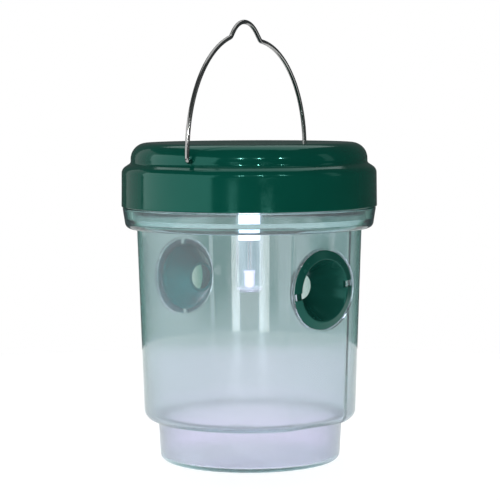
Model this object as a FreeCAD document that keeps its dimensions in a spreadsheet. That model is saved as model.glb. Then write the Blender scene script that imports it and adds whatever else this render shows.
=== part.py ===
import FreeCAD, Part
import math
import os
import Sketcher
from FreeCAD import Placement, Rotation, Vector

# Hanging insect trap: clear jar, two entry funnels, twist-off lid with a solar lamp.
# Millimetres, +Z up, origin at the centre of the foot's underside, front funnel facing -Y.

os.makedirs("parts", exist_ok=True)
doc = FreeCAD.newDocument("InsectTrap")
sheet = doc.addObject("Spreadsheet::Sheet", "Dimensions")

DIMENSIONS = [
    # jar
    ("wall", 2.0, "jar and lid wall thickness"),
    ("foot_low_radius", 44.7, "foot radius at the table"),
    ("foot_top_radius", 45.9, "foot radius under the body"),
    ("foot_height", 20.3, "underside of the body above the table"),
    ("floor_thickness", 2.2, "jar floor"),
    ("foot_round", 3.2, "outer rounding of the foot"),
    ("body_low_radius", 52.6, "body radius at its bottom"),
    ("body_top_radius", 55.9, "body radius under the collar"),
    ("body_round", 5.0, "outer rounding of the body's bottom"),
    ("flat_low", 49.3, "flat panel from the axis, at the body's bottom"),
    ("flat_top", 52.75, "flat panel from the axis, under the collar"),
    ("flat_edge_round", 6.0, "rounding between flat panel and round wall"),
    ("collar_bottom", 115.7, "underside of the collar"),
    ("collar_top", 125.9, "top of the collar"),
    ("collar_low_radius", 61.3, "collar radius at its bottom"),
    ("collar_top_radius", 62.9, "collar radius at its top"),
    ("collar_round", 3.0, "rounding of the collar's lower edge"),
    ("neck_radius", 60.0, "neck outside radius"),
    ("neck_bore", 58.0, "neck inside radius"),
    ("rim_height", 140.8, "jar rim above the table"),
    ("lug_radius", 61.1, "outer radius of the jar's locking lugs"),
    ("lug_bottom", 130.4, "underside of the jar's locking lugs"),
    ("lug_thickness", 2.2, "thickness of a locking lug"),
    ("jar_lug_angle", 24.0, "arc of a jar lug"),
    ("lug_count", 4, "locking lugs on jar and lid"),
    # entry funnels
    ("port_height", 88.0, "funnel centre above the table"),
    ("port_face", 51.5, "flat panel from the axis at the funnel centre"),
    ("port_tilt", 2.15, "downward tilt of the flat panel, degrees"),
    ("port_bore", 16.35, "radius of the hole in the panel"),
    ("port_ring_inner", 19.45, "inner radius of the raised ring"),
    ("port_ring_outer", 20.2, "outer radius of the raised ring"),
    ("port_ring_height", 1.7, "height of the raised ring"),
    ("flange_radius", 19.15, "funnel flange radius"),
    ("flange_thickness", 2.5, "funnel flange thickness at the mouth"),
    ("flange_edge", 1.4, "funnel flange thickness at its rim"),
    ("funnel_neck", 16.3, "funnel neck radius in the panel hole"),
    ("funnel_bead", 16.9, "snap bead behind the panel"),
    ("mouth_radius", 14.9, "funnel mouth radius"),
    ("throat_radius", 6.2, "small hole radius"),
    ("throat_wall", 1.5, "funnel wall at the small hole"),
    ("funnel_depth", 16.6, "flange face to small end"),
    ("notch_width", 3.3, "width of the two notches across the flange"),
    ("funnel_spin", 8.0, "turn of the front funnel's notches from level, degrees"),
    # lid
    ("lid_bottom", 126.3, "lower edge of the lid"),
    ("skirt_radius", 63.4, "lid skirt radius at its lower edge"),
    ("skirt_top_radius", 63.2, "lid skirt radius at the shoulder"),
    ("skirt_bore", 61.5, "inside of the skirt"),
    ("shoulder_height", 145.0, "shoulder at the skirt"),
    ("tier_radius", 58.7, "upper tier radius"),
    ("tier_foot", 148.0, "foot of the upper tier"),
    ("tier_bore", 56.7, "inside of the upper tier"),
    ("lid_ledge", 142.8, "ledge that presses on the seal"),
    ("lid_crown", 158.4, "crown of the lid before rounding"),
    ("crown_round", 8.0, "rounding of the crown"),
    ("window_radius", 28.0, "solar window radius"),
    ("window_edge", 156.6, "dish height at the solar window"),
    ("window_seat", 155.0, "ledge under the solar window"),
    ("cell_well_radius", 26.0, "well for the solar cell"),
    ("cell_well_floor", 151.7, "floor of the well"),
    ("dish_underside", 150.1, "underside of the well"),
    ("lid_lug_inner", 60.3, "inner radius of the lid's locking lugs"),
    ("lid_lug_bottom", 128.0, "underside of the lid's locking lugs"),
    ("lid_lug_angle", 14.0, "arc of a lid lug"),
    ("unlock_angle", 20.0, "lid turn between locked and free"),
    # bail
    ("bail_wire", 1.1, "bail wire radius"),
    ("bail_hole", 1.18, "radius of the bail's holes"),
    ("pivot_height", 150.0, "bail pivot above the table"),
    ("bail_lean", 1.8, "lean of the raised bail, degrees"),
    ("bail_radius", 61.5, "radius of the arch on the near side"),
    ("bail_drop", 0.2, "centre of that arch below the pivot"),
    ("far_arch_radius", 50.4, "radius of the arch on the far side"),
    ("far_arch_x", 12.0, "centre of that arch from the middle"),
    ("far_arch_y", 8.0, "centre of that arch above the pivot"),
    ("bail_bend", 1.5, "bend where each leg turns into its hole"),
    ("bail_apex", 67.3, "top of the hanging hump above the pivot"),
    ("hump_radius", 17.0, "radius of the hanging hump"),
    ("hump_slope", 45.0, "slope of the hump's flanks, degrees"),
    ("kink_radius", 3.0, "bend between arch and hump"),
    ("bail_tip", 55.0, "inner end of each leg from the axis"),
    ("bail_head", 1.9, "radius of the flattened tips"),
    # lamp
    ("housing_radius", 38.0, "lamp housing radius"),
    ("housing_bore", 36.2, "inside of the lamp housing"),
    ("housing_bottom", 129.2, "underside of the lamp housing"),
    ("housing_floor", 131.0, "inner floor of the lamp housing"),
    ("housing_rim", 154.8, "rim of the lamp housing"),
    ("boss_circle", 31.0, "radius of the three screw bosses"),
    ("boss_split", 139.2, "where housing column and lid boss meet"),
    ("screw_radius", 1.35, "housing screw radius"),
    ("screw_head_radius", 2.6, "housing screw head radius"),
    ("tube_radius", 6.75, "lamp tube radius"),
    ("tube_bore", 5.55, "inside of the lamp tube"),
    ("tube_bottom", 83.5, "lower end of the lamp tube"),
    ("tube_flange_radius", 9.0, "flange of the lamp tube"),
    ("tube_flange_thickness", 1.5, "thickness of that flange"),
    ("led_radius", 2.5, "light-emitting diode radius"),
    ("led_tip", 85.0, "lower end of the diode"),
    ("led_base", 94.0, "upper face of the diode"),
    ("socket_bottom", 109.5, "lower end of the lamp socket"),
    ("socket_radius", 5.3, "lamp socket radius"),
    ("lead_pitch", 2.54, "distance between the diode's leads"),
    ("board_bottom", 140.2, "underside of the circuit board"),
    ("board_thickness", 1.6, "circuit board thickness"),
    ("cell_side", 36.0, "solar cell side"),
    ("battery_radius", 5.25, "battery radius"),
    ("battery_length", 43.3, "battery length without its button"),
    ("battery_y", 15.5, "battery axis behind the lamp axis"),
    ("battery_z", 136.6, "battery axis above the table"),
    ("switch_travel", 2.0, "travel of the switch slider"),
]
for row, (alias, value, note) in enumerate(DIMENSIONS, start=1):
    sheet.set(f"A{row}", note)
    sheet.set(f"B{row}", str(value))
    sheet.setAlias(f"B{row}", alias)
doc.recompute()


class Size:
    """A number together with the sheet formula it comes from."""

    def __init__(self, value, formula=None):
        self.value = float(value)
        self.formula = formula or repr(float(value))

    @staticmethod
    def of(other):
        return other if isinstance(other, Size) else Size(other)

    def __add__(self, other):
        other = Size.of(other)
        return Size(self.value + other.value, f"({self.formula} + {other.formula})")

    def __radd__(self, other):
        return Size.of(other) + self

    def __sub__(self, other):
        other = Size.of(other)
        return Size(self.value - other.value, f"({self.formula} - {other.formula})")

    def __rsub__(self, other):
        return Size.of(other) - self

    def __mul__(self, other):
        other = Size.of(other)
        return Size(self.value * other.value, f"({self.formula} * {other.formula})")

    def __neg__(self):
        return Size(-self.value, f"(0 - {self.formula})")


S = {alias: Size(value, f"Dimensions.{alias}") for alias, value, note in DIMENSIONS}
EXPORTS = {}


def keep(node, thing):
    """Name an object as one finished piece of the trap."""
    thing.Label = node
    EXPORTS[node] = thing
    return thing


def bind(thing, prop, size):
    size = Size.of(size)
    setattr(thing, prop, size.value)
    thing.setExpression(prop, size.formula)


def new_body(name):
    body = doc.addObject("PartDesign::Body", name)
    body.AllowCompound = True
    return body


def origin_feature(body, role):
    for feature in body.Origin.OriginFeatures:
        if feature.Role == role:
            return feature
    raise ValueError(role)


def add_sketch(body, name, role="XZ_Plane", offset=0):
    sketch = body.newObject("Sketcher::SketchObject", name)
    sketch.AttachmentSupport = [(origin_feature(body, role), "")]
    sketch.MapMode = "FlatFace"
    offset = Size.of(offset)
    if offset.value:
        sketch.AttachmentOffset = Placement(Vector(0, 0, offset.value), Rotation())
        sketch.setExpression("AttachmentOffset.Base.z", offset.formula)
    sketch.Visibility = False
    return sketch


def hold(sketch, kind, index, point, size):
    """Hold one coordinate of a sketch point to a formula."""
    number = sketch.addConstraint(Sketcher.Constraint(kind, index, point, size.value))
    sketch.setExpression(f"Constraints[{number}]", size.formula)


def outline(sketch, corners):
    """Closed straight-sided loop, every corner held by two formulas."""
    corners = [(Size.of(a), Size.of(b)) for a, b in corners]
    first = sketch.GeometryCount
    count = len(corners)
    for index in range(count):
        a, b = corners[index]
        c, d = corners[(index + 1) % count]
        start = Vector(a.value, b.value, 0)
        end = Vector(c.value, d.value, 0)
        sketch.addGeometry(Part.LineSegment(start, end), False)
    for index in range(count):
        after = first + (index + 1) % count
        sketch.addConstraint(Sketcher.Constraint("Coincident", first + index, 2, after, 1))
    for index, (a, b) in enumerate(corners):
        hold(sketch, "DistanceX", first + index, 1, a)
        hold(sketch, "DistanceY", first + index, 1, b)


def rectangle(sketch, left, right, low, high):
    outline(sketch, [(left, low), (right, low), (right, high), (left, high)])


def circle(sketch, x, y, radius):
    x, y, radius = Size.of(x), Size.of(y), Size.of(radius)
    centre = Vector(x.value, y.value, 0)
    index = sketch.addGeometry(Part.Circle(centre, Vector(0, 0, 1), radius.value), False)
    hold(sketch, "DistanceX", index, 3, x)
    hold(sketch, "DistanceY", index, 3, y)
    number = sketch.addConstraint(Sketcher.Constraint("Radius", index, radius.value))
    sketch.setExpression(f"Constraints[{number}]", radius.formula)


def turn(body, name, corners, groove=False, arc=None):
    """Revolve a profile of (radius, height) corners about the body's Z axis."""
    sketch = add_sketch(body, f"{name}Profile")
    outline(sketch, corners)
    doc.recompute()
    feature = body.newObject("PartDesign::Groove" if groove else "PartDesign::Revolution", name)
    feature.Profile = sketch
    feature.ReferenceAxis = (sketch, ["V_Axis"])
    if arc is None:
        feature.Angle = 360
    else:
        feature.Midplane = True
        bind(feature, "Angle", arc)
    body.Tip = feature
    doc.recompute()
    return feature


def raise_from(body, name, low, height, draw):
    """Pad what draw() sketches, upward from a level."""
    sketch = add_sketch(body, f"{name}Profile", "XY_Plane", low)
    draw(sketch)
    doc.recompute()
    feature = body.newObject("PartDesign::Pad", name)
    feature.Profile = sketch
    bind(feature, "Length", height)
    body.Tip = feature
    doc.recompute()
    return feature


def sink_from(body, name, top, depth, draw):
    """Pocket what draw() sketches, downward from a level."""
    sketch = add_sketch(body, f"{name}Profile", "XY_Plane", top)
    draw(sketch)
    doc.recompute()
    before = body.Shape.Volume
    feature = body.newObject("PartDesign::Pocket", name)
    feature.Profile = sketch
    bind(feature, "Length", depth)
    body.Tip = feature
    doc.recompute()
    if body.Shape.Volume >= before:
        raise RuntimeError(f"{name} removed nothing")
    return feature


def polar(body, name, original, count, angle=360):
    pattern = body.newObject("PartDesign::PolarPattern", name)
    pattern.Originals = [original]
    pattern.Axis = (origin_feature(body, "Z_Axis"), [""])
    pattern.Angle = angle
    count = Size.of(count)
    pattern.Occurrences = int(count.value)
    pattern.setExpression("Occurrences", count.formula)
    body.Tip = pattern
    doc.recompute()
    return pattern


def rounded(body, name, radius, chooses):
    """Fillet the edges of the body's tip that chooses(edge) accepts."""
    base = body.Tip
    names = [f"Edge{i}" for i, edge in enumerate(base.Shape.Edges, start=1) if chooses(edge)]
    if not names:
        raise RuntimeError(f"{name} found no edge")
    feature = body.newObject("PartDesign::Fillet", name)
    feature.Base = (base, names)
    bind(feature, "Radius", radius)
    body.Tip = feature
    doc.recompute()
    if feature.Shape.isNull() or not feature.isValid():
        raise RuntimeError(f"{name} failed")
    return feature


def ring_at(radius, height, near=0.05):
    """Chooser for a circular edge about Z of this radius at this height."""
    radius, height = Size.of(radius).value, Size.of(height).value

    def chooses(edge):
        box = edge.BoundBox
        if abs(box.ZMin - height) > near or abs(box.ZMax - height) > near:
            return False
        point = edge.valueAt(edge.FirstParameter)
        return abs(math.hypot(point.x, point.y) - radius) < near

    return chooses


def cylinder(name, radius, height, x=0, y=0, z=0):
    solid = doc.addObject("Part::Cylinder", name)
    bind(solid, "Radius", radius)
    bind(solid, "Height", height)
    place(solid, x, y, z)
    return solid


def box(name, length, width, height, x, y, z):
    solid = doc.addObject("Part::Box", name)
    bind(solid, "Length", length)
    bind(solid, "Width", width)
    bind(solid, "Height", height)
    place(solid, x, y, z)
    return solid


def place(solid, x, y, z, rotation=None):
    x, y, z = Size.of(x), Size.of(y), Size.of(z)
    solid.Placement = Placement(Vector(x.value, y.value, z.value), rotation or Rotation())
    solid.setExpression("Placement.Base.x", x.formula)
    solid.setExpression("Placement.Base.y", y.formula)
    solid.setExpression("Placement.Base.z", z.formula)


def cut(name, base, tool):
    result = doc.addObject("Part::Cut", name)
    result.Base = base
    result.Tool = tool
    doc.recompute()
    return result


def fuse(name, shapes):
    result = doc.addObject("Part::MultiFuse", name)
    result.Shapes = shapes
    result.Refine = True
    doc.recompute()
    return result


def group(name, shapes):
    """Separate solids kept as one piece."""
    result = doc.addObject("Part::Compound", name)
    result.Links = shapes
    doc.recompute()
    return result


def route(name, points, bends, wire_radius, rotation=None, base=(0, 0, 0)):
    """Round wire along a plane path of straight runs joined by tangent arcs.

    points are (along, up) corners in the plane; the sketch is attached upright and turned by
    rotation about Z. The swept volume is compared with section times length.
    """
    plane = Rotation(Vector(1, 0, 0), 90)
    turned = (rotation or Rotation()).multiply(plane)
    corners = [Vector(Size.of(a).value, Size.of(b).value, 0) for a, b in points]
    path = []
    start = corners[0]
    for index in range(1, len(corners) - 1):
        corner, bend = corners[index], bends[index - 1]
        back = (corners[index - 1] - corner).normalize()
        ahead = (corners[index + 1] - corner).normalize()
        half = back.getAngle(ahead) / 2
        reach = bend / math.tan(half)
        first = corner + back * reach
        last = corner + ahead * reach
        middle = corner + (back + ahead).normalize() * (bend / math.sin(half) - bend)
        path.append(Part.LineSegment(start, first))
        path.append(Part.Arc(first, middle, last))
        start = last
    path.append(Part.LineSegment(start, corners[-1]))
    return sweep_path(name, path, wire_radius, turned, Vector(*base))


def sweep_path(name, path, wire_radius, turned, base):
    """Sweep a round section of wire_radius along tangent curves drawn in a sketch."""
    wire_radius = Size.of(wire_radius)
    sketch = doc.addObject("Sketcher::SketchObject", f"{name}Path")
    sketch.Placement = Placement(base, turned)
    for piece in path:
        sketch.addGeometry(piece, False)
    sketch.Visibility = False
    section = doc.addObject("Part::Circle", f"{name}Section")
    bind(section, "Radius", wire_radius)
    start = path[0].value(path[0].FirstParameter)
    ahead = turned.multVec(path[0].tangent(path[0].FirstParameter)[0])
    origin = base + turned.multVec(start)
    section.Placement = Placement(origin, Rotation(Vector(0, 0, 1), ahead))
    section.Visibility = False
    doc.recompute()
    swept = doc.addObject("Part::Sweep", name)
    swept.Sections = [section]
    edges = [f"Edge{i}" for i in range(1, len(path) + 1)]
    swept.Spine = (sketch, edges)
    swept.Solid = True
    swept.Frenet = False
    doc.recompute()
    length = sum(piece.length() for piece in path)
    expected = math.pi * wire_radius.value**2 * length
    if abs(swept.Shape.Volume - expected) > 0.01 * expected:
        raise RuntimeError(f"{name}: swept volume {swept.Shape.Volume} not {expected}")
    return swept


# ---------------------------------------------------------------- jar
def vessel(name, inset):
    """The round body with its two flat panels and the foot, drawn inset from the outside."""
    body = new_body(name)
    low = S["foot_height"] + inset
    high = S["collar_bottom"] + 3.2
    low_radius = S["body_low_radius"] - inset
    high_radius = S["body_top_radius"] - inset
    turn(body, f"{name}Wall", [(0, low), (low_radius, low), (high_radius, high), (0, high)])

    sketch = add_sketch(body, f"{name}FlatProfile", "YZ_Plane")
    low_flat = S["flat_low"] - inset
    top_flat = S["flat_top"] - inset
    beyond = S["collar_top_radius"] + 5
    outline(sketch, [(low_flat, low), (beyond, low), (beyond, high), (top_flat, high)])
    outline(sketch, [(-low_flat, low), (-top_flat, high), (-beyond, high), (-beyond, low)])
    doc.recompute()
    before = body.Shape.Volume
    flats = body.newObject("PartDesign::Pocket", f"{name}Flats")
    flats.Profile = sketch
    flats.Type = "ThroughAll"
    flats.SideType = "Symmetric"
    body.Tip = flats
    doc.recompute()
    if body.Shape.Volume >= before:
        raise RuntimeError("flat panels not cut")

    def upright(edge):
        bounds = edge.BoundBox
        return bounds.ZLength > 50 and bounds.XMin * bounds.XMax > 0

    rounded(body, f"{name}FlatEdges", S["flat_edge_round"] - inset, upright)

    def bottom_edge(edge):
        return edge.BoundBox.ZMax < low.value + 0.05

    rounded(body, f"{name}BottomEdge", S["body_round"] - inset, bottom_edge)
    return body


def foot(body, name, inset, floor):
    """Round foot under the vessel."""
    top = S["foot_height"] + inset + 1.0
    low_radius = S["foot_low_radius"] - inset
    top_radius = S["foot_top_radius"] - inset
    turn(body, name, [(0, floor), (low_radius, floor), (top_radius, top), (0, top)])
    rounded(body, f"{name}Edge", S["foot_round"] - inset, ring_at(low_radius, floor))


OUTSIDE = Size(0)
jar_outer = vessel("JarOuter", OUTSIDE)
foot(jar_outer, "JarFoot", OUTSIDE, OUTSIDE)
turn(
    jar_outer,
    "JarCollar",
    [
        (0, S["collar_bottom"]),
        (S["collar_low_radius"], S["collar_bottom"]),
        (S["collar_top_radius"], S["collar_top"]),
        (S["neck_radius"], S["collar_top"]),
        (S["neck_radius"], S["rim_height"]),
        (0, S["rim_height"]),
    ],
)
rounded(
    jar_outer,
    "JarCollarEdge",
    S["collar_round"],
    ring_at(S["collar_low_radius"], S["collar_bottom"]),
)
rounded(jar_outer, "JarCollarTopEdge", 0.5, ring_at(S["collar_top_radius"], S["collar_top"]))
jar_lug = turn(
    jar_outer,
    "JarLug",
    [
        (S["neck_radius"] - 0.3, S["lug_bottom"]),
        (S["lug_radius"], S["lug_bottom"]),
        (S["lug_radius"], S["lug_bottom"] + S["lug_thickness"]),
        (S["neck_radius"] - 0.3, S["lug_bottom"] + S["lug_thickness"]),
    ],
    arc=S["jar_lug_angle"],
)
polar(jar_outer, "JarLugs", jar_lug, S["lug_count"])

jar_cavity = vessel("JarCavity", S["wall"])
foot(jar_cavity, "CavityFoot", S["wall"], S["floor_thickness"])
turn(
    jar_cavity,
    "NeckBore",
    [
        (0, S["collar_bottom"] + 3),
        (S["neck_bore"] - 2.5, S["collar_bottom"] + 3),
        (S["neck_bore"], S["collar_bottom"] + 5.5),
        (S["neck_bore"], S["rim_height"] + 1),
        (0, S["rim_height"] + 1),
    ],
)


def port_pose(side):
    """Frame of a funnel: local Z is the outward normal of the tilted flat panel."""
    tilt = S["port_tilt"].value
    heading = Rotation(Vector(0, 0, 1), 0 if side < 0 else 180)
    return heading.multiply(Rotation(Vector(1, 0, 0), 90 + tilt))


def at_port(solid, side):
    place(solid, 0, S["port_face"] * side, S["port_height"], port_pose(side))
    return solid


ring_bodies = []
port_cutters = []
for side, place_name in ((-1, "Front"), (1, "Rear")):
    ring = new_body(f"PortRing{place_name}")
    turn(
        ring,
        f"PortRingSolid{place_name}",
        [
            (S["port_bore"], -1.2),
            (S["port_ring_outer"], -1.2),
            (S["port_ring_outer"], S["port_ring_height"]),
            (S["port_bore"], S["port_ring_height"]),
        ],
    )
    ring_bodies.append(at_port(ring, side))
    cutter = new_body(f"PortCutter{place_name}")
    turn(
        cutter,
        f"PortCut{place_name}",
        [
            (0, -8),
            (S["port_bore"], -8),
            (S["port_bore"], 0),
            (S["port_ring_inner"], 0),
            (S["port_ring_inner"], 8),
            (0, 8),
        ],
    )
    port_cutters.append(at_port(cutter, side))

jar_solid = fuse("JarSolid", [jar_outer] + ring_bodies)
jar_hollow = cut("JarHollow", jar_solid, jar_cavity)
jar = cut("Jar", jar_hollow, fuse("PortCutters", port_cutters))
keep("jar", jar)


# ---------------------------------------------------------------- entry funnels
def entry_funnel(name, side, spin):
    """Snap-in funnel drawn about local Z, flange face outward, then turned by spin degrees."""
    body = new_body(name)
    seat = Size(0.05)
    face = S["flange_thickness"] + seat
    rim = S["flange_edge"] + seat
    inner = face - S["funnel_depth"]
    throat_out = S["throat_radius"] + S["throat_wall"]
    behind = -(S["wall"] + 0.15)
    turn(
        body,
        f"{name}Shell",
        [
            (S["throat_radius"], inner),
            (throat_out, inner),
            (S["funnel_neck"] - 1.1, behind - 2.2),
            (S["funnel_neck"], behind - 1.5),
            (S["funnel_bead"], behind - 0.6),
            (S["funnel_neck"], behind),
            (S["funnel_neck"], seat),
            (S["flange_radius"], seat),
            (S["flange_radius"], rim),
            (S["mouth_radius"] + 0.6, face),
            (S["mouth_radius"], face),
        ],
    )
    rounded(body, f"{name}MouthEdge", 0.5, ring_at(S["mouth_radius"], face))
    rounded(body, f"{name}FlangeEdge", 0.5, ring_at(S["flange_radius"], rim))
    sketch = add_sketch(body, f"{name}NotchProfile", "XY_Plane", seat)
    half = S["notch_width"] * 0.5
    for sign in (-1, 1):
        near = (S["mouth_radius"] - 1) * sign
        far = (S["flange_radius"] + 1) * sign
        outline(sketch, [(near, -half), (far, -half), (far, half), (near, half)])
    doc.recompute()
    before = body.Shape.Volume
    notch = body.newObject("PartDesign::Pocket", f"{name}Notches")
    notch.Profile = sketch
    notch.Reversed = True
    bind(notch, "Length", S["flange_thickness"] + 1)
    body.Tip = notch
    doc.recompute()
    if body.Shape.Volume >= before:
        raise RuntimeError("notches not cut")
    pose = port_pose(side).multiply(Rotation(Vector(0, 0, 1), spin))
    place(body, 0, S["port_face"] * side, S["port_height"], pose)
    return body


keep("entry_funnel_front", entry_funnel("FunnelFront", -1, S["funnel_spin"].value))
keep("entry_funnel_rear", entry_funnel("FunnelRear", 1, 90))

# ---------------------------------------------------------------- lid
lid = new_body("Lid")
turn(
    lid,
    "LidShell",
    [
        (S["skirt_bore"], S["lid_bottom"]),
        (S["skirt_radius"], S["lid_bottom"]),
        (S["skirt_top_radius"], S["shoulder_height"]),
        (S["tier_radius"], S["tier_foot"]),
        (S["tier_radius"], S["lid_crown"]),
        (S["window_radius"] + 0.2, S["window_edge"]),
        (S["window_radius"] + 0.2, S["window_seat"]),
        (S["cell_well_radius"], S["window_seat"]),
        (S["cell_well_radius"], S["cell_well_floor"]),
        (0, S["cell_well_floor"]),
        (0, S["dish_underside"]),
        (S["window_radius"] + 0.2, S["dish_underside"]),
        (S["window_radius"] + 2.2, S["window_seat"] - 0.2),
        (S["tier_bore"], S["lid_crown"] - 2.3),
        (S["tier_bore"], S["lid_ledge"]),
        (S["skirt_bore"], S["lid_ledge"]),
    ],
)
rounded(lid, "LidShoulder", 4.0, ring_at(S["skirt_top_radius"], S["shoulder_height"]))
rounded(lid, "LidTierFoot", 1.5, ring_at(S["tier_radius"], S["tier_foot"]))
rounded(lid, "LidCrown", S["crown_round"], ring_at(S["tier_radius"], S["lid_crown"]))
rounded(lid, "LidCrownInside", 5.2, ring_at(S["tier_bore"], S["lid_crown"] - 2.3))
rounded(lid, "LidLowerEdge", 0.6, ring_at(S["skirt_radius"], S["lid_bottom"]))
rounded(lid, "LidWindowEdge", 0.4, ring_at(S["window_radius"] + 0.2, S["window_edge"]))
lid_lug = turn(
    lid,
    "LidLug",
    [
        (S["lid_lug_inner"], S["lid_lug_bottom"]),
        (S["skirt_bore"] + 0.4, S["lid_lug_bottom"]),
        (S["skirt_bore"] + 0.4, S["lid_lug_bottom"] + S["lug_thickness"]),
        (S["lid_lug_inner"], S["lid_lug_bottom"] + S["lug_thickness"]),
    ],
    arc=S["lid_lug_angle"],
)
polar(lid, "LidLugs", lid_lug, S["lug_count"])

hole_sketch = add_sketch(lid, "BailHoleProfile", "YZ_Plane", S["tier_bore"] - 2)
circle(hole_sketch, 0, S["pivot_height"], S["bail_hole"])
doc.recompute()
volume_before = lid.Shape.Volume
bail_hole = lid.newObject("PartDesign::Pocket", "BailHole")
bail_hole.Profile = hole_sketch
bail_hole.Reversed = True
bind(bail_hole, "Length", 6)
lid.Tip = bail_hole
doc.recompute()
if lid.Shape.Volume >= volume_before:
    raise RuntimeError("bail hole not cut")
polar(lid, "BailHoles", bail_hole, 2)

boss = raise_from(
    lid,
    "LidBoss",
    S["boss_split"],
    S["window_seat"] - S["boss_split"] - 0.6,
    lambda sketch: circle(sketch, 0, S["boss_circle"], 3.2),
)
polar(lid, "LidBosses", boss, 3)
pilot = sink_from(
    lid,
    "LidPilot",
    S["boss_split"] + 8,
    8,
    lambda sketch: circle(sketch, 0, S["boss_circle"], S["screw_radius"] + 0.05),
)
polar(lid, "LidPilots", pilot, 3)


def wire_holes(sketch):
    for x in (-6, 6):
        circle(sketch, x, -12, 0.9)


sink_from(lid, "SolarWireHoles", S["cell_well_floor"], 3, wire_holes)
LID_TURN = Rotation(Vector(0, 0, 1), S["unlock_angle"].value)


def on_lid(solid):
    """Turn a piece drawn in the lid's own frame to the lid's resting angle."""
    solid.Placement = Placement(Vector(), LID_TURN).multiply(solid.Placement)
    solid.setExpression("Placement.Base.x", None)
    solid.setExpression("Placement.Base.y", None)
    return solid


keep("lid", on_lid(lid))

seal = new_body("Seal")
turn(
    seal,
    "SealRing",
    [
        (58.2, S["rim_height"]),
        (61.1, S["rim_height"]),
        (61.1, S["lid_ledge"]),
        (58.2, S["lid_ledge"]),
    ],
)
keep("lid_seal", seal)

# ---------------------------------------------------------------- bail handle
def bail_side(mirror, arch, radius):
    """Curves from one leg's tip up to the hump; arch is the centre of that side's arc."""
    bend, kink = S["bail_bend"].value, S["kink_radius"].value
    hump_radius = S["hump_radius"].value
    slope = math.radians(S["hump_slope"].value)
    hump = Vector(0, S["bail_apex"].value - hump_radius, 0)
    bend_x = math.sqrt((radius - bend) ** 2 - (bend - arch.y) ** 2) - arch.x
    leg = Vector(-bend_x, bend, 0)
    leg_top = arch + (leg - arch).normalize() * radius
    leg_outward = (leg_top - leg).normalize()
    leg_middle = leg + (leg_outward + Vector(0, -1, 0)).normalize() * bend
    along = Vector(math.cos(slope), math.sin(slope), 0)
    outward = Vector(-math.sin(slope), math.cos(slope), 0)
    flank_top = hump + outward * hump_radius
    # centre of the kink: kink radius off the flank and off the arch
    offset = flank_top + outward * kink - arch
    ahead = offset.dot(along)
    reach = math.sqrt(ahead**2 - offset.dot(offset) + (radius + kink) ** 2)
    choices = [arch + offset + along * (sign * reach - ahead) for sign in (-1, 1)]
    centre = min(choices, key=lambda point: (point - flank_top).Length)
    flank_low = centre - outward * kink
    arch_end = arch + (centre - arch).normalize() * radius
    kink_middle = centre + ((flank_low + arch_end) * 0.5 - centre).normalize() * kink
    arch_middle = arch + (leg_top + arch_end - arch * 2).normalize() * radius
    tip = Vector(-S["bail_tip"].value, 0, 0)
    leg_start = Vector(-bend_x, 0, 0)
    runs = [
        (tip, leg_start),
        (leg_start, leg_middle, leg_top),
        (leg_top, arch_middle, arch_end),
        (arch_end, kink_middle, flank_low),
        (flank_low, flank_top),
    ]
    if mirror:
        runs = [[Vector(-p.x, p.y, 0) for p in reversed(run)] for run in reversed(runs)]
    curves = []
    for run in runs:
        curves.append(Part.LineSegment(*run) if len(run) == 2 else Part.Arc(*run))
    return curves


def bail_path():
    """Arch with a hanging hump, drawn in a plane about the pivot; each leg turns inward.

    The wire is bent by hand, so its far side bulges more than its near side.
    """
    near_side = bail_side(False, Vector(0, -S["bail_drop"].value, 0), S["bail_radius"].value)
    far_centre = Vector(-S["far_arch_x"].value, S["far_arch_y"].value, 0)
    far_side = bail_side(True, far_centre, S["far_arch_radius"].value)
    top = Vector(0, S["bail_apex"].value, 0)
    start = near_side[-1].EndPoint
    end = far_side[0].StartPoint
    return near_side + [Part.Arc(start, top, end)] + far_side


upright = Rotation(Vector(1, 0, 0), 90)
bail_wire = sweep_path("BailWire", bail_path(), S["bail_wire"], upright, Vector())
bail_heads = []
for side in (-1, 1):
    head = cylinder(f"BailHead{side + 1}", S["bail_head"], 1.0)
    place(head, S["bail_tip"] * side, 0, 0, Rotation(Vector(0, 1, 0), -90 * side))
    bail_heads.append(head)
bail = fuse("Bail", [bail_wire] + bail_heads)
bail_pose = LID_TURN.multiply(Rotation(Vector(1, 0, 0), -S["bail_lean"].value))
place(bail, 0, 0, S["pivot_height"], bail_pose)
keep("bail_handle", bail)

# ---------------------------------------------------------------- lamp housing
housing = new_body("Housing")
turn(
    housing,
    "HousingCup",
    [
        (0, S["housing_bottom"]),
        (S["housing_radius"], S["housing_bottom"]),
        (S["housing_radius"], S["housing_rim"]),
        (S["housing_bore"], S["housing_rim"]),
        (S["housing_bore"], S["housing_floor"]),
        (0, S["housing_floor"]),
    ],
)
rounded(housing, "HousingEdge", 1.2, ring_at(S["housing_radius"], S["housing_bottom"]))
column = raise_from(
    housing,
    "HousingColumn",
    S["housing_floor"] - 0.5,
    S["boss_split"] - S["housing_floor"] + 0.45,
    lambda sketch: circle(sketch, 0, S["boss_circle"], 4.0),
)
polar(housing, "HousingColumns", column, 3)
END_RIBS = ((23.15, 24.6), (-26.7, -25.4))
RIB_Y = (10.0, 21.0)


def draw_ribs(sketch):
    for left, right in END_RIBS:
        rectangle(sketch, left, right, *RIB_Y)


raise_from(housing, "BatteryRibs", S["housing_floor"] - 0.5, 12, draw_ribs)
DOOR_EAR = (-17.0, 6.0)
raise_from(
    housing,
    "DoorColumn",
    S["housing_floor"] - 0.5,
    6.5,
    lambda sketch: circle(sketch, *DOOR_EAR, 3.0),
)
BOARD_SCREWS = ((-15.0, -20.0), (15.0, -20.0))


def board_circles(radius):
    def draw(sketch):
        for x, y in BOARD_SCREWS:
            circle(sketch, x, y, radius)

    return draw


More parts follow.
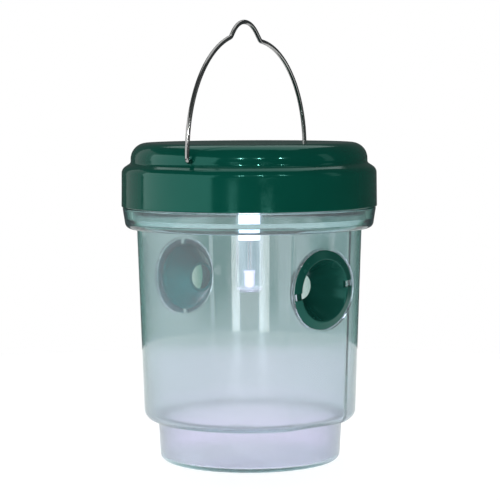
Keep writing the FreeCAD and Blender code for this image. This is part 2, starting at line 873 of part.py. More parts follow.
raise_from(
    housing,
    "BoardPosts",
    S["housing_floor"] - 0.5,
    S["board_bottom"] - S["housing_floor"] + 0.5,
    board_circles(2.2),
)
sink_from(housing, "BoardPilots", S["board_bottom"], 6, board_circles(0.8))
counterbore = sink_from(
    housing,
    "ScrewRecess",
    S["housing_bottom"] + 6,
    7,
    lambda sketch: circle(sketch, 0, S["boss_circle"], S["screw_head_radius"] + 0.3),
)
polar(housing, "ScrewRecesses", counterbore, 3)
screw_hole = sink_from(
    housing,
    "ScrewHole",
    S["boss_split"],
    11,
    lambda sketch: circle(sketch, 0, S["boss_circle"], S["screw_radius"] + 0.08),
)
polar(housing, "ScrewHoles", screw_hole, 3)
sink_from(
    housing,
    "TubeHole",
    S["housing_floor"] + 1,
    4,
    lambda sketch: circle(sketch, 0, 0, S["tube_radius"] + 0.08),
)
DOOR = (-27.0, 27.0, 8.8, 22.2)
DOOR_GAP = 0.2
sink_from(
    housing,
    "DoorRecess",
    S["housing_bottom"] + 1,
    2,
    lambda sketch: rectangle(
        sketch,
        DOOR[0] - DOOR_GAP,
        DOOR[1] + DOOR_GAP,
        DOOR[2] - DOOR_GAP,
        DOOR[3] + DOOR_GAP,
    ),
)
sink_from(
    housing,
    "DoorEarRecess",
    S["housing_bottom"] + 1,
    2,
    lambda sketch: circle(sketch, *DOOR_EAR, 3.2 + DOOR_GAP),
)
sink_from(
    housing,
    "BatteryOpening",
    S["housing_floor"],
    4,
    lambda sketch: rectangle(sketch, -24.5, 22.6, *RIB_Y),
)
sink_from(
    housing,
    "DoorScrewHole",
    S["housing_floor"] + 5.5,
    9,
    lambda sketch: circle(sketch, *DOOR_EAR, 1.1),
)
sink_from(
    housing,
    "SwitchSlot",
    S["housing_floor"] + 1,
    4,
    lambda sketch: rectangle(sketch, -2.2, 2.2, -22.0, -20.0),
)
keep("lamp_housing", on_lid(housing))


def screw(name, head_radius, head_height, shank_radius, length, x, y, z):
    """Cross-head screw driven upward: head underside side down, top of the head at z."""
    z = Size.of(z)
    head = cylinder(f"{name}Head", head_radius, head_height, x, y, z - head_height)
    shank = cylinder(f"{name}Shank", shank_radius, length, x, y, z)
    solid = fuse(f"{name}Solid", [head, shank])
    width = Size.of(head_radius) * 0.32
    reach = Size.of(head_radius) * 1.2
    deep = z - head_height - 1
    depth = Size.of(head_height) * 0.5 + 1
    bar_x = box(f"{name}BarX", reach, width, depth, reach * -0.5 + x, width * -0.5 + y, deep)
    bar_y = box(f"{name}BarY", width, reach, depth, width * -0.5 + x, reach * -0.5 + y, deep)
    return cut(name, solid, fuse(f"{name}Cross", [bar_x, bar_y]))


screws = []
for number, angle in enumerate((90, 210, 330)):
    x = S["boss_circle"] * math.cos(math.radians(angle))
    y = S["boss_circle"] * math.sin(math.radians(angle))
    top = S["housing_bottom"] + 6
    screws.append(
        screw(f"HousingScrew{number}", S["screw_head_radius"], 1.8, S["screw_radius"], 10, x, y, top)
    )
keep("housing_screws", on_lid(group("HousingScrews", screws)))

# ---------------------------------------------------------------- lamp
tube = new_body("Tube")
flange_top = S["housing_floor"] + S["tube_flange_thickness"]
tube_floor = S["tube_bottom"] + 1.3
turn(
    tube,
    "TubeWall",
    [
        (0, S["tube_bottom"]),
        (S["tube_radius"], S["tube_bottom"]),
        (S["tube_radius"], S["housing_floor"]),
        (S["tube_flange_radius"], S["housing_floor"]),
        (S["tube_flange_radius"], flange_top),
        (S["tube_bore"], flange_top),
        (S["tube_bore"], tube_floor),
        (0, tube_floor),
    ],
)
rounded(tube, "TubeEnd", 2.4, ring_at(S["tube_radius"], S["tube_bottom"]))
rounded(tube, "TubeEndInside", 1.5, ring_at(S["tube_bore"], tube_floor))
keep("lamp_tube", on_lid(tube))

socket = new_body("Socket")
socket_top = flange_top + 1.5
turn(
    socket,
    "SocketBody",
    [
        (0, S["socket_bottom"]),
        (S["socket_radius"], S["socket_bottom"]),
        (S["socket_radius"], flange_top),
        (S["tube_flange_radius"] - 0.2, flange_top),
        (S["tube_flange_radius"] - 0.2, socket_top),
        (0, socket_top),
    ],
)


def draw_leads(sketch):
    for side in (-0.5, 0.5):
        circle(sketch, S["lead_pitch"] * side, 0, 0.45)


sink_from(socket, "LeadHoles", socket_top, socket_top - S["socket_bottom"] + 1, draw_leads)
keep("lamp_socket", on_lid(socket))

dome_centre = S["led_tip"] + S["led_radius"]
dome = doc.addObject("Part::Sphere", "LedDome")
bind(dome, "Radius", S["led_radius"])
place(dome, 0, 0, dome_centre)
led_barrel = cylinder("LedBarrel", S["led_radius"], S["led_base"] - dome_centre, z=dome_centre)
led_rim = cylinder("LedRim", S["led_radius"] + 0.4, 1.0, z=S["led_base"] - 1)
keep("led_lamp", on_lid(fuse("Led", [dome, led_barrel, led_rim])))

leads = []
for side in (-0.5, 0.5):
    name = "LedLeadLeft" if side < 0 else "LedLeadRight"
    lead_x = S["lead_pitch"] * side
    leads.append(cylinder(name, 0.3, socket_top - S["led_base"], lead_x, 0, S["led_base"]))
keep("led_leads", on_lid(group("LedLeads", leads)))

# ---------------------------------------------------------------- electronics
BOARD = (-20.0, 20.0, -29.0, -9.5)
board = new_body("Board")
raise_from(
    board,
    "BoardSheet",
    S["board_bottom"],
    S["board_thickness"],
    lambda sketch: rectangle(sketch, *BOARD),
)
sink_from(board, "BoardHoles", S["board_bottom"] + 2, 4, board_circles(0.9))
keep("circuit_board", on_lid(board))

board_top = S["board_bottom"] + S["board_thickness"]
board_screws = []
for number, (x, y) in enumerate(BOARD_SCREWS):
    hanging = screw(f"BoardScrew{number}", 1.6, 1.0, 0.75, 5, 0, 0, 0)
    place(hanging, x, y, board_top, Rotation(Vector(1, 0, 0), 180))
    board_screws.append(hanging)
keep("board_screws", on_lid(group("BoardScrews", board_screws)))

components = [
    box("Controller", 5.0, 4.0, 1.5, -4.5, -23.0, board_top),
    box("ResistorA", 3.2, 1.6, 0.6, 2.0, -24.0, board_top),
    box("ResistorB", 3.2, 1.6, 0.6, 2.0, -21.0, board_top),
    box("Diode", 3.6, 1.8, 1.1, 7.5, -15.5, board_top),
    cylinder("Inductor", 2.6, 4.0, 10.0, -25.0, board_top),
    cylinder("Capacitor", 2.5, 5.5, -9.0, -25.5, board_top),
]
keep("board_components", on_lid(group("BoardComponents", components)))

cell = new_body("Battery")
button = S["battery_length"] + 1.1
turn(
    cell,
    "BatteryCan",
    [
        (0, 0),
        (S["battery_radius"], 0),
        (S["battery_radius"], S["battery_length"]),
        (1.9, S["battery_length"]),
        (1.9, button),
        (0, button),
    ],
)
rounded(cell, "BatteryEdge", 0.6, ring_at(S["battery_radius"], S["battery_length"]))
rounded(cell, "BatteryBase", 0.4, ring_at(S["battery_radius"], 0))
CELL_START = -21.75
place(cell, CELL_START, S["battery_y"], S["battery_z"], Rotation(Vector(0, 1, 0), 90))
keep("battery_cell", on_lid(cell))

CONTACT_TOP = 144.2
CONTACT_WIDTH = 9.0
plate_low = S["housing_floor"] + 0.2
plate_y = S["battery_y"] - CONTACT_WIDTH / 2
plate_height = Size(CONTACT_TOP) - plate_low
plate = box("ContactPlate", 0.4, CONTACT_WIDTH, plate_height, 22.7, plate_y, plate_low)
keep("battery_contact_plate", on_lid(plate))

spring_plate = box("SpringPlate", 0.4, CONTACT_WIDTH, plate_height, -25.35, plate_y, plate_low)
coil = doc.addObject("Part::Helix", "SpringCoil")
coil.Radius = 3.2
coil.Pitch = 1.05
coil.Height = 2.6
coil.Placement = Placement(Vector(), Rotation())
coil_section = doc.addObject("Part::Circle", "SpringSection")
coil_section.Radius = 0.3
coil_section.Placement = Placement(Vector(3.2, 0, 0), Rotation(Vector(1, 0, 0), 90))
doc.recompute()
coil_wire = doc.addObject("Part::Sweep", "SpringWire")
coil_wire.Sections = [coil_section]
coil_wire.Spine = (coil, ["Edge1"])
coil_wire.Solid = True
coil_wire.Frenet = True
spring_x = -25.35 + 0.4 + 0.25
place(coil_wire, spring_x, S["battery_y"], S["battery_z"], Rotation(Vector(0, 1, 0), 90))
keep("battery_contact_spring", on_lid(fuse("ContactSpring", [spring_plate, coil_wire])))

door_plate = box(
    "DoorPlate", DOOR[1] - DOOR[0], DOOR[3] - DOOR[2], 0.95, DOOR[0], DOOR[2], S["housing_bottom"]
)
door_ear = cylinder("DoorEar", 3.2, 0.95, *DOOR_EAR, S["housing_bottom"])
door_whole = fuse("DoorWhole", [door_plate, door_ear])
door_hole = cylinder("DoorHole", 1.15, 4, *DOOR_EAR, S["housing_bottom"] - 1)
keep("battery_door", on_lid(cut("Door", door_whole, door_hole)))
door_screw = screw("DoorScrew", 2.1, 1.2, 1.05, 6, *DOOR_EAR, S["housing_bottom"])
keep("battery_door_screw", on_lid(door_screw))

switch_case = box("SwitchCase", 8.6, 3.8, 3.4, -4.3, -22.9, S["housing_floor"])
keep("switch_body", on_lid(switch_case))
slider_low = S["housing_bottom"] - 1.7
slider = box(
    "SwitchSlider", 2.0, 1.7, S["housing_floor"] - slider_low, -2.0, -21.85, slider_low
)
keep("switch_slider", on_lid(slider))

# ---------------------------------------------------------------- solar cell
pad = new_body("CellPad")
raise_from(pad, "PadSheet", S["cell_well_floor"], 0.8, lambda sketch: circle(sketch, 0, 0, 25.5))
sink_from(pad, "PadHoles", S["cell_well_floor"] + 1, 2, wire_holes)
keep("solar_cell_pad", on_lid(pad))
cell_low = S["cell_well_floor"] + 0.8
half_side = S["cell_side"] * -0.5
solar = box("SolarCell", S["cell_side"], S["cell_side"], 2.2, half_side, half_side, cell_low)
keep("solar_cell", on_lid(solar))
gasket = new_body("WindowGasket")
turn(
    gasket,
    "GasketRing",
    [
        (S["cell_well_radius"] + 0.2, S["window_seat"]),
        (S["window_radius"] - 0.1, S["window_seat"]),
        (S["window_radius"] - 0.1, S["window_seat"] + 0.2),
        (S["cell_well_radius"] + 0.2, S["window_seat"] + 0.2),
    ],
)
keep("window_gasket", on_lid(gasket))
window_low = S["window_seat"] + 0.2
window = cylinder("Window", S["window_radius"], S["window_edge"] - window_low, z=window_low)
keep("solar_window", on_lid(window))

# ---------------------------------------------------------------- wires
along_y = Rotation(Vector(0, 0, 1), 90)
solar_runs = []
for x in (-6.0, 6.0):
    points = [(-12, cell_low), (-12, 146.7), (-17, 146.7), (-17, board_top)]
    name = "SolarWireLeft" if x < 0 else "SolarWireRight"
    solar_runs.append(route(name, points, (1.5, 1.5), 0.6, along_y, (x, 0, 0)))
keep("solar_wires", on_lid(group("SolarWires", solar_runs)))

lamp_runs = []
for side in (-0.5, 0.5):
    x = S["lead_pitch"].value * side
    points = [(0, socket_top), (0, 145.7), (-13, 145.7), (-13, board_top)]
    name = "LampWireLeft" if side < 0 else "LampWireRight"
    lamp_runs.append(route(name, points, (2.0, 2.0), 0.6, along_y, (x, 0, 0)))
keep("lamp_wires", on_lid(group("LampWires", lamp_runs)))

battery_runs = []
for name, start_x, end_x in (("BatteryWirePlus", 22.9, 17.0), ("BatteryWireMinus", -25.15, -17.0)):
    start_y, end_y = S["battery_y"].value, -12.5
    span = math.hypot(end_x - start_x, end_y - start_y)
    heading = math.degrees(math.atan2(end_y - start_y, end_x - start_x))
    points = [(0, CONTACT_TOP), (0, 146.7), (span, 146.7), (span, board_top)]
    turned = Rotation(Vector(0, 0, 1), heading)
    battery_runs.append(route(name, points, (1.5, 1.5), 0.6, turned, (start_x, start_y, 0)))
keep("battery_wires", on_lid(group("BatteryWires", battery_runs)))

# ---------------------------------------------------------------- checks and export
doc.recompute()
for thing in doc.Objects:
    if "Invalid" in thing.State or "Error" in thing.State:
        raise RuntimeError(f"{thing.Label}: {thing.State}")
for node, thing in EXPORTS.items():
    if thing.Shape.isNull() or not thing.Shape.isValid():
        raise RuntimeError(f"{node} has no valid shape")
    thing.Shape.exportStep(f"parts/{node}.step")
    bounds = thing.Shape.BoundBox
    print(
        f"{node}: {len(thing.Shape.Solids)} solid(s), "
        f"{bounds.XLength:.1f} x {bounds.YLength:.1f} x {bounds.ZLength:.1f} mm, "
        f"z {bounds.ZMin:.1f}..{bounds.ZMax:.1f}, {thing.Shape.Volume:.0f} mm3"
    )
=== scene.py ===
"""Looks for the insect trap: materials, stage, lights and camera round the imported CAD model."""

import math

import bpy
from mathutils import Euler, Matrix, Vector

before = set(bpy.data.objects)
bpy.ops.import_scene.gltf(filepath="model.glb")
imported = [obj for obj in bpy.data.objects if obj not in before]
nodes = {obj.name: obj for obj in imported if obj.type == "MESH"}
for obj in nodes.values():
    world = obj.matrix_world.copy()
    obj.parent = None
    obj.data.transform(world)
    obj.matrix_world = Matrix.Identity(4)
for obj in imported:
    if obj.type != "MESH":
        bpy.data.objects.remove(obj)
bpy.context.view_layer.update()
scene = bpy.context.scene

# metres and radians, from the ellipses of the lid's edge, the step and the foot
CAMERA_DISTANCE = 0.9554
CAMERA_HEIGHT = 0.1786
CAMERA_PITCH = math.radians(4.447)
CAMERA_AZIMUTH = math.radians(-42.0)
CAMERA_YAW = math.radians(0.01787)
CAMERA_ROLL = math.radians(-0.23)
LENS_MM = 138.4992
SENSOR_MM = 36.0

# heights on the jar in metres: the foot is frosted, the body above it is clear
FROST_TOP = 0.026
CLEAR_FROM = 0.066
FOOT_TINT_TOP = 0.016
BODY_TINT_FROM = 0.030
# heights over which the painted dark green shade on the jar's outlines fades in
PAINTED_EDGE_SHADE_FROM = 0.020
PAINTED_EDGE_SHADE_FULL = 0.075

TABLE_RADIUS = 0.425
FLOOR_GLOW = 0.62


# ---------------------------------------------------------------- material helpers
class Shader:
    """One Principled material and the few nodes that feed it."""

    def __init__(self, name):
        self.material = bpy.data.materials.new(name)
        self.material.use_nodes = True
        self.tree = self.material.node_tree
        self.principled = self.tree.nodes["Principled BSDF"]
        self.coordinates = self.tree.nodes.new("ShaderNodeTexCoord")

    def set(self, **values):
        for key, value in values.items():
            socket = self.principled.inputs[key.replace("_", " ")]
            if isinstance(value, (tuple, list)) and len(value) == 3:
                value = (*value, 1.0)
            socket.default_value = value
        return self

    def node(self, kind, **values):
        made = self.tree.nodes.new(kind)
        for key, value in values.items():
            if key in made.inputs:
                made.inputs[key].default_value = value
            else:
                setattr(made, key, value)
        return made

    def link(self, source, target):
        self.tree.links.new(source, target)

    def noise(self, scale, detail=3.0, roughness=0.55, stretch=None):
        texture = self.node("ShaderNodeTexNoise")
        texture.inputs["Scale"].default_value = scale
        texture.inputs["Detail"].default_value = detail
        texture.inputs["Roughness"].default_value = roughness
        source = self.coordinates.outputs["Object"]
        if stretch is not None:
            mapping = self.node("ShaderNodeMapping")
            mapping.inputs["Scale"].default_value = stretch
            self.link(source, mapping.inputs["Vector"])
            source = mapping.outputs["Vector"]
        self.link(source, texture.inputs["Vector"])
        return texture.outputs["Fac"]

    def ranged(self, factor, low, high, from_low=0.35, from_high=0.65):
        spread = self.node("ShaderNodeMapRange")
        spread.inputs["From Min"].default_value = from_low
        spread.inputs["From Max"].default_value = from_high
        spread.inputs["To Min"].default_value = low
        spread.inputs["To Max"].default_value = high
        self.link(factor, spread.inputs["Value"])
        return spread.outputs["Result"]

    def blend(self, factor, first, second):
        mix = self.node("ShaderNodeMix", data_type="RGBA")
        mix.inputs["A"].default_value = (*first, 1.0)
        mix.inputs["B"].default_value = (*second, 1.0)
        self.link(factor, mix.inputs["Factor"])
        return mix.outputs["Result"]

    def roughness(self, factor, low, high):
        self.link(self.ranged(factor, low, high), self.principled.inputs["Roughness"])
        return self

    def colour(self, factor, first, second):
        shade = self.blend(self.ranged(factor, 0.0, 1.0), first, second)
        self.link(shade, self.principled.inputs["Base Color"])
        return self

    def bump(self, heights, strength, distance):
        """Adds fine relief: heights is one factor or several summed."""
        total = heights[0]
        for extra in heights[1:]:
            add = self.node("ShaderNodeMath", operation="ADD")
            self.link(total, add.inputs[0])
            self.link(extra, add.inputs[1])
            total = add.outputs[0]
        relief = self.node("ShaderNodeBump")
        relief.inputs["Strength"].default_value = strength
        relief.inputs["Distance"].default_value = distance
        self.link(total, relief.inputs["Height"])
        self.link(relief.outputs["Normal"], self.principled.inputs["Normal"])
        return self


def clear_plastic(name, tint, low, high, wave, lit=0.0):
    """Moulded clear plastic: faint upright flow lines and handling marks."""
    shader = Shader(name)
    # a lit strength above zero is painted glow: the clear plastic is no lamp
    shader.set(Emission_Color=(0.78, 0.84, 1.0), Emission_Strength=lit)
    shader.set(Base_Color=tint, Transmission_Weight=1.0, IOR=1.46, Specular_IOR_Level=0.5)
    shader.roughness(shader.noise(60.0, 4.0), low, high)
    flow = shader.noise(40.0, 2.0, 0.4, (1.0, 1.0, 0.06))
    shader.bump([flow, shader.noise(220.0, 2.0)], wave, 0.0004)
    return shader.material


def jar_plastic():
    """Clear but slightly milky moulding whose foot is frosted."""
    shader = Shader("jar_clear")
    shader.set(Transmission_Weight=0.93, IOR=1.46, Specular_IOR_Level=0.5)
    split = shader.node("ShaderNodeSeparateXYZ")
    shader.link(shader.coordinates.outputs["Object"], split.inputs["Vector"])
    height = split.outputs["Z"]
    # with the gloss below it stays under 0.27, where the denoiser's guide passes change over
    frost = shader.ranged(height, 0.20, 0.0, FROST_TOP, CLEAR_FROM)
    low = shader.ranged(height, 1.0, 0.0, FOOT_TINT_TOP, BODY_TINT_FROM)
    tint = shader.blend(low, (0.865, 0.840, 0.915), (0.95, 0.84, 0.985))
    # painted shade: the outlines are painted dark green where the wall is seen at a grazing
    # angle, standing in for light that has travelled far inside the wall
    above = shader.ranged(height, 0.0, 1.0, PAINTED_EDGE_SHADE_FROM, PAINTED_EDGE_SHADE_FULL)
    grazing = shader.node("ShaderNodeLayerWeight").outputs["Facing"]
    painted_shade_grazing = shader.ranged(grazing, 0.0, 1.0, 0.66, 0.76)
    edge = shader.node("ShaderNodeMath", operation="MULTIPLY")
    shader.link(above, edge.inputs[0])
    shader.link(painted_shade_grazing, edge.inputs[1])
    mix = shader.node("ShaderNodeMix", data_type="RGBA")
    mix.inputs["B"].default_value = (0.26, 0.42, 0.46, 1.0)
    shader.link(edge.outputs[0], mix.inputs["Factor"])
    shader.link(tint, mix.inputs["A"])
    shader.link(mix.outputs["Result"], shader.principled.inputs["Base Color"])
    gloss = shader.ranged(shader.noise(60.0, 4.0), 0.02, 0.06)
    total = shader.node("ShaderNodeMath", operation="ADD")
    shader.link(frost, total.inputs[0])
    shader.link(gloss, total.inputs[1])
    shader.link(total.outputs[0], shader.principled.inputs["Roughness"])
    shader.bump([shader.noise(45.0, 1.0, 0.4, (1.0, 1.0, 0.012))], 0.04, 0.0004)
    # the wall is greener where it is seen edge on
    depth = shader.node("ShaderNodeVolumeAbsorption", Density=100.0)
    depth.inputs["Color"].default_value = (0.05, 0.54, 0.48, 1.0)
    output = shader.tree.nodes["Material Output"]
    shader.link(depth.outputs["Volume"], output.inputs["Volume"])
    return shader.material


def green_plastic(name, first, second, low, high):
    """Glossy moulded plastic with slight shade variation, fine grain and hairline wear."""
    shader = Shader(name)
    shader.set(IOR=1.5, Specular_IOR_Level=0.5, Specular_Tint=(0.30, 1.0, 0.86))
    shader.colour(shader.noise(14.0, 4.0), first, second)
    shader.roughness(shader.noise(95.0, 5.0), low, high)
    scratches = shader.noise(380.0, 3.0, 0.6, (1.0, 1.0, 0.08))
    shader.bump([shader.noise(900.0, 2.0), scratches], 0.05, 0.0002)
    return shader.material


def simple_plastic(name, first, second, low, high, grain=700.0, depth=0.12):
    shader = Shader(name)
    shader.colour(shader.noise(25.0, 4.0), first, second)
    shader.roughness(shader.noise(120.0, 4.0), low, high)
    shader.bump([shader.noise(grain, 3.0)], depth, 0.0002)
    return shader.material


def metal(name, first, second, low, high, stretch=(1.0, 1.0, 1.0)):
    shader = Shader(name)
    shader.set(Metallic=1.0)
    shader.colour(shader.noise(90.0, 4.0, 0.6, stretch), first, second)
    shader.roughness(shader.noise(160.0, 4.0, 0.6, stretch), low, high)
    shader.bump([shader.noise(700.0, 3.0, 0.6, stretch)], 0.03, 0.0002)
    return shader.material


def glow(name, colour, strength, base):
    shader = Shader(name)
    shader.set(Emission_Color=colour, Emission_Strength=strength)
    shader.colour(shader.noise(60.0, 3.0), base, tuple(min(1.0, part * 1.12) for part in base))
    shader.roughness(shader.noise(150.0, 3.0), 0.12, 0.3)
    shader.bump([shader.noise(400.0, 2.0)], 0.05, 0.0002)
    return shader.material


GREEN_DARK = (0.0008, 0.046, 0.031)
GREEN_LIGHT = (0.0014, 0.058, 0.040)
MATERIALS = {
    "jar": jar_plastic(),
    # the tube's faint emission is painted glow from the LED inside it
    "lamp_tube": clear_plastic("tube_clear", (0.95, 0.97, 0.985), 0.03, 0.08, 0.03, 0.07),
    "solar_window": clear_plastic("window_clear", (0.62, 0.82, 0.80), 0.02, 0.06, 0.02),
    "lid": green_plastic("lid_green", GREEN_DARK, GREEN_LIGHT, 0.07, 0.14),
    "entry_funnel_front": green_plastic(
        "funnel_green", (0.005, 0.052, 0.040), (0.008, 0.070, 0.054), 0.16, 0.28
    ),
    # the far funnel gets a brighter copy of the same green: painted backlight, as if it glowed
    # through its thin wall
    "entry_funnel_rear": green_plastic(
        "funnel_green_painted_backlight", (0.001, 0.13, 0.13), (0.002, 0.22, 0.22), 0.10, 0.20
    ),
    "bail_handle": metal(
        "bail_steel", (0.26, 0.26, 0.26), (0.38, 0.38, 0.37), 0.10, 0.22, (1.0, 1.0, 0.2)
    ),
    "lamp_housing": simple_plastic(
        "housing_dark", (0.006, 0.030, 0.022), (0.010, 0.040, 0.030), 0.38, 0.55
    ),
    "lid_seal": simple_plastic("seal_rubber", (0.02,) * 3, (0.032,) * 3, 0.6, 0.8),
    # the white socket is no lamp: its emission is painted glow
    "lamp_socket": glow("socket_white_painted_glow", (0.84, 0.84, 1.0), 3.2, (0.78, 0.76, 0.84)),
    "led_lamp": glow("led_lit", (0.78, 0.74, 1.0), 0.8, (0.70, 0.62, 0.95)),
    "led_leads": metal("lead_tinned", (0.42, 0.42, 0.41), (0.58, 0.58, 0.56), 0.3, 0.5),
    "housing_screws": metal("screw_zinc", (0.52, 0.52, 0.50), (0.66, 0.66, 0.64), 0.25, 0.45),
    "battery_contact_plate": metal(
        "contact_nickel", (0.66, 0.63, 0.56), (0.78, 0.75, 0.68), 0.2, 0.4
    ),
    "circuit_board": simple_plastic(
        "board_green", (0.010, 0.10, 0.035), (0.018, 0.14, 0.05), 0.3, 0.5, 300.0
    ),
    "board_components": simple_plastic("component_black", (0.012,) * 3, (0.03,) * 3, 0.4, 0.6),
    "battery_cell": simple_plastic(
        "battery_sleeve", (0.02, 0.16, 0.045), (0.03, 0.2, 0.06), 0.2, 0.35, 250.0, 0.05
    ),
    "switch_slider": simple_plastic("switch_black", (0.01,) * 3, (0.022,) * 3, 0.45, 0.65),
    "solar_cell_pad": simple_plastic(
        "foam_black", (0.012,) * 3, (0.03,) * 3, 0.8, 0.95, 500.0, 0.6
    ),
    "window_gasket": simple_plastic("adhesive_dark", (0.02,) * 3, (0.035,) * 3, 0.5, 0.7),
    "solar_wires": simple_plastic(
        "insulation_red", (0.30, 0.012, 0.010), (0.38, 0.02, 0.014), 0.35, 0.5
    ),
}
SHARED = {
    "battery_door": "lamp_housing",
    "battery_door_screw": "housing_screws",
    "board_screws": "housing_screws",
    "battery_contact_spring": "battery_contact_plate",
    "switch_body": "board_components",
    "lamp_wires": "solar_wires",
    "battery_wires": "solar_wires",
}


def solar_cell_material():
    """Blue-black silicon with pale bus bars and fine fingers under clear resin."""
    shader = Shader("solar_silicon")
    shader.set(Coat_Weight=0.6, Coat_Roughness=0.08)
    crystals = shader.node("ShaderNodeTexVoronoi")
    crystals.inputs["Scale"].default_value = 240.0
    shader.link(shader.coordinates.outputs["Object"], crystals.inputs["Vector"])
    base = shader.blend(
        shader.ranged(crystals.outputs["Distance"], 0.0, 1.0, 0.0, 1.0),
        (0.004, 0.006, 0.016),
        (0.010, 0.016, 0.045),
    )
    fingers = shader.node("ShaderNodeTexWave", wave_type="BANDS", bands_direction="X")
    fingers.inputs["Scale"].default_value = 130.0
    shader.link(shader.coordinates.outputs["Object"], fingers.inputs["Vector"])
    lines = shader.ranged(fingers.outputs["Fac"], 0.0, 0.6, 0.93, 1.0)
    mix = shader.node("ShaderNodeMix", data_type="RGBA")
    mix.inputs["B"].default_value = (0.32, 0.33, 0.35, 1.0)
    shader.link(lines, mix.inputs["Factor"])
    shader.link(base, mix.inputs["A"])
    shader.link(mix.outputs["Result"], shader.principled.inputs["Base Color"])
    shader.roughness(shader.noise(90.0), 0.12, 0.25)
    shader.bump([shader.noise(300.0)], 0.04, 0.0002)
    return shader.material


MATERIALS["solar_cell"] = solar_cell_material()


def dress(name, material):
    mesh = nodes[name].data
    mesh.materials.clear()
    mesh.materials.append(material)


for name, material in MATERIALS.items():
    dress(name, material)
for name, source in SHARED.items():
    dress(name, MATERIALS[source])
# clear pieces let the studio light through instead of casting a dark shadow
for name in ("jar", "lamp_tube", "solar_window"):
    nodes[name].visible_shadow = False


# ---------------------------------------------------------------- stage
def disc(name, radius, height, material, steps=128):
    ring = [
        (radius * math.cos(turn), radius * math.sin(turn), height)
        for turn in (2 * math.pi * index / steps for index in range(steps))
    ]
    mesh = bpy.data.meshes.new(name)
    mesh.from_pydata(ring, [], [list(range(steps))])
    thing = bpy.data.objects.new(name, mesh)
    scene.collection.objects.link(thing)
    mesh.materials.append(material)
    return thing


floor_shader = Shader("floor_pale")
floor_shader.colour(floor_shader.noise(3.0), (0.60, 0.60, 0.60), (0.63, 0.63, 0.63))
floor_shader.roughness(floor_shader.noise(20.0), 0.6, 0.75)
# lit from below like a light table, so the trap casts next to no shadow
floor_shader.set(
    Emission_Color=(1.0, 1.0, 1.0), Emission_Strength=FLOOR_GLOW, Specular_IOR_Level=0.1
)
disc("table", TABLE_RADIUS, 0.0, floor_shader.material)

# ---------------------------------------------------------------- light
world = bpy.data.worlds.new("studio")
scene.world = world
world.use_nodes = True
tree = world.node_tree
tree.nodes.clear()
path = tree.nodes.new("ShaderNodeLightPath")
ROOM_LIGHT = (0.33, 0.34, 0.34, 1.0)
GLOSSY_ROOM = (0.07, 0.08, 0.08, 1.0)
BACKDROP = (1.0, 1.0, 1.0, 1.0)
surface = tree.nodes.new("ShaderNodeBackground")
surface.inputs["Color"].default_value = ROOM_LIGHT


def curtain(tree):
    """Upright light and dark green-grey folds, paler near the table and to the camera's left."""
    direction = tree.nodes.new("ShaderNodeTexCoord")
    squeeze = tree.nodes.new("ShaderNodeMapping")
    squeeze.inputs["Scale"].default_value = (1.0, 1.0, 0.0)
    folds = tree.nodes.new("ShaderNodeTexNoise")
    folds.inputs["Scale"].default_value = 55.0
    folds.inputs["Detail"].default_value = 1.0
    spread = tree.nodes.new("ShaderNodeMapRange")
    spread.inputs["From Min"].default_value = 0.38
    spread.inputs["From Max"].default_value = 0.62
    shade = tree.nodes.new("ShaderNodeMix")
    shade.data_type = "RGBA"
    shade.inputs["A"].default_value = (0.12, 0.34, 0.25, 1.0)
    shade.inputs["B"].default_value = (0.60, 0.72, 0.60, 1.0)
    tree.links.new(direction.outputs["Generated"], squeeze.inputs["Vector"])
    tree.links.new(squeeze.outputs["Vector"], folds.inputs["Vector"])
    tree.links.new(folds.outputs["Fac"], spread.inputs["Value"])
    tree.links.new(spread.outputs["Result"], shade.inputs["Factor"])
    shade = shade.outputs["Result"]
    sideways = (math.cos(CAMERA_AZIMUTH), math.sin(CAMERA_AZIMUTH), 0.0)
    for axis, plain, pale in ((sideways, -0.034, -0.048), ((0.0, 0.0, 1.0), -0.100, -0.127)):
        along = tree.nodes.new("ShaderNodeVectorMath")
        along.operation = "DOT_PRODUCT"
        along.inputs[1].default_value = axis
        fade = tree.nodes.new("ShaderNodeMapRange")
        fade.inputs["From Min"].default_value = plain
        fade.inputs["From Max"].default_value = pale
        lighter = tree.nodes.new("ShaderNodeMix")
        lighter.data_type = "RGBA"
        lighter.inputs["B"].default_value = (0.56, 0.74, 0.62, 1.0)
        tree.links.new(direction.outputs["Generated"], along.inputs[0])
        tree.links.new(along.outputs["Value"], fade.inputs["Value"])
        tree.links.new(fade.outputs["Result"], lighter.inputs["Factor"])
        tree.links.new(shade, lighter.inputs["A"])
        shade = lighter.outputs["Result"]
    return shade


# the green-grey room is seen through clear pieces, a darker one in glossy ones; the order
# counts, because a refracted ray is both a glossy and a transmission ray
for ray, colour in (
    ("Is Glossy Ray", GLOSSY_ROOM),
    ("Is Transmission Ray", None),
    ("Is Camera Ray", BACKDROP),
):
    view = tree.nodes.new("ShaderNodeBackground")
    if colour is None:
        tree.links.new(curtain(tree), view.inputs["Color"])
    else:
        view.inputs["Color"].default_value = colour
    mixer = tree.nodes.new("ShaderNodeMixShader")
    tree.links.new(path.outputs[ray], mixer.inputs["Fac"])
    tree.links.new(surface.outputs[0], mixer.inputs[1])
    tree.links.new(view.outputs["Background"], mixer.inputs[2])
    surface = mixer
output = tree.nodes.new("ShaderNodeOutputWorld")
tree.links.new(surface.outputs[0], output.inputs["Surface"])


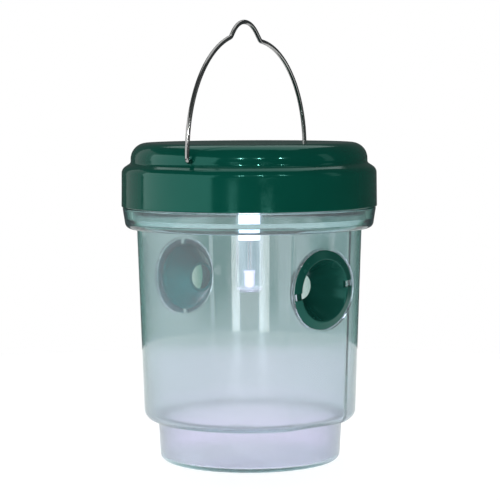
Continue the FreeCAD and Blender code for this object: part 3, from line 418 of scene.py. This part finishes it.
def softbox(name, azimuth, distance, height, width, tall, power):
    """Area light at an azimuth seen from above (0 is -Y), aimed at the trap's middle."""
    turn = math.radians(azimuth)
    place = Vector((math.sin(turn) * distance, -math.cos(turn) * distance, height))
    lamp = bpy.data.lights.new(name, "AREA")
    lamp.shape = "RECTANGLE"
    lamp.size = width
    lamp.size_y = tall
    lamp.energy = power
    thing = bpy.data.objects.new(name, lamp)
    thing.location = place
    aim = Vector((0.0, 0.0, 0.10)) - place
    thing.rotation_euler = aim.to_track_quat("-Z", "Y").to_euler()
    scene.collection.objects.link(thing)
    return thing


# azimuth in degrees, distance and height and size in metres, power in watts
softbox("key", -112.0, 1.3, 0.42, 2.1, 0.9, 9.0)
softbox("side", -168.0, 1.3, 0.42, 0.8, 0.9, 0.8)
# three small lamps for the bright dots on the lid's rounded edges
for number, azimuth in enumerate((-50.0, -32.0, -11.0)):
    softbox(f"spark_{number}", azimuth, 1.5, 0.75, 0.045, 0.03, 2.4)
softbox("fill", 40.0, 1.5, 0.6, 0.3, 0.9, 0.4)
softbox("top", 138.0, 0.5, 1.3, 1.2, 1.2, 5.0)
softbox("strip_left", -56.0, 1.6, -0.12, 0.22, 0.36, 1.2)
softbox("strip_right", -27.0, 1.6, -0.12, 0.28, 0.36, 1.5)

# ---------------------------------------------------------------- camera
camera_data = bpy.data.cameras.new("camera")
camera_data.sensor_width = SENSOR_MM
camera_data.lens = LENS_MM
camera_data.clip_start = 0.05
camera_data.clip_end = 50.0
camera = bpy.data.objects.new("camera", camera_data)
scene.collection.objects.link(camera)
camera.location = (
    math.sin(CAMERA_AZIMUTH) * CAMERA_DISTANCE,
    -math.cos(CAMERA_AZIMUTH) * CAMERA_DISTANCE,
    CAMERA_HEIGHT,
)
level = Euler((math.pi / 2 - CAMERA_PITCH, 0.0, CAMERA_AZIMUTH - CAMERA_YAW)).to_matrix()
camera.rotation_euler = (level @ Matrix.Rotation(CAMERA_ROLL, 3, "Z")).to_euler()
scene.camera = camera
scene.view_settings.view_transform = "Standard"
scene.cycles.transmission_bounces = 20
scene.cycles.max_bounces = 24
scene.cycles.transparent_max_bounces = 16
